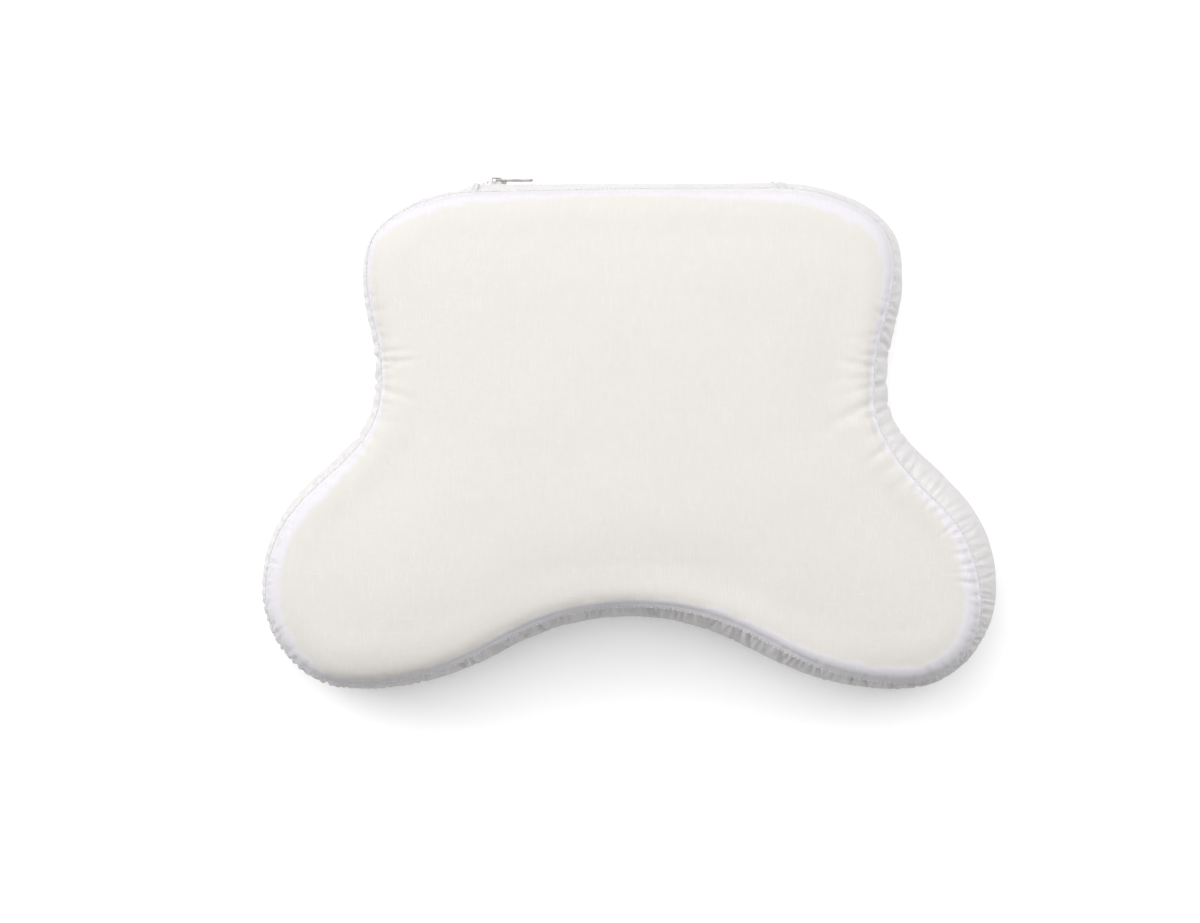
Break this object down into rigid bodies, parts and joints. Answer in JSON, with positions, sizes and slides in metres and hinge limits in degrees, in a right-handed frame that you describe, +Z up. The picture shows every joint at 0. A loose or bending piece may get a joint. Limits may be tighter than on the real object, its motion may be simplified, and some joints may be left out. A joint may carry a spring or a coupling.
{
  "type": "lumbar support cushion",
  "caption": "Butterfly-shaped foam cushion in a cotton cover with a gathered side band, waisted sides, a front arch and a zip along its straight rear edge.",
  "frame": {"origin": "on the underside, below the middle of the overall box, with the cushion lying flat", "axes": "+X across the two lobes, +Y towards the straight rear edge with the zip, +Z up out of the top face"},
  "size_m": [0.48, 0.3364, 0.09],
  "materials": {
    "foam": "matte",
    "liner": "matte",
    "cream_cotton": "matte",
    "white_cotton": "matte",
    "thread": "matte",
    "zip_tape": "matte",
    "zip_teeth": "satin",
    "zip_metal": "satin"
  },
  "bodies": {
    "cover": {"foam_core": "foam", "liner_upper": "liner", "liner_lower": "liner", "cover_top_panel": "cream_cotton", "cover_bottom_panel": "white_cotton", "cover_side_band": "white_cotton", "zip_band_upper": "white_cotton", "zip_band_lower": "white_cotton", "top_seam_allowance": "white_cotton", "bottom_seam_allowance": "white_cotton", "top_seam_thread": "thread", "bottom_seam_thread": "thread", "zip_tape_upper": "zip_tape", "zip_tape_lower": "zip_tape", "zip_row_upper": "zip_teeth", "zip_row_lower": "zip_teeth", "zip_top_stop_upper": "zip_metal", "zip_top_stop_lower": "zip_metal", "zip_bottom_stop": "zip_metal"},
    "slider": {"zip_slider": "zip_metal"},
    "pull_tab": {"zip_pull_tab": "zip_metal"}
  },
  "joints": [
    {"name": "zip_slide", "type": "slide", "parent": "cover", "child": "slider", "axis": [1, 0, 0], "range_m": [0, 0.173]},
    {"name": "tab_pivot", "type": "hinge", "parent": "slider", "child": "pull_tab", "pos_m": [-0.0868, 0.16625, 0.045], "axis": [0, 0, 1], "range_deg": [0, 180]}
  ]
}
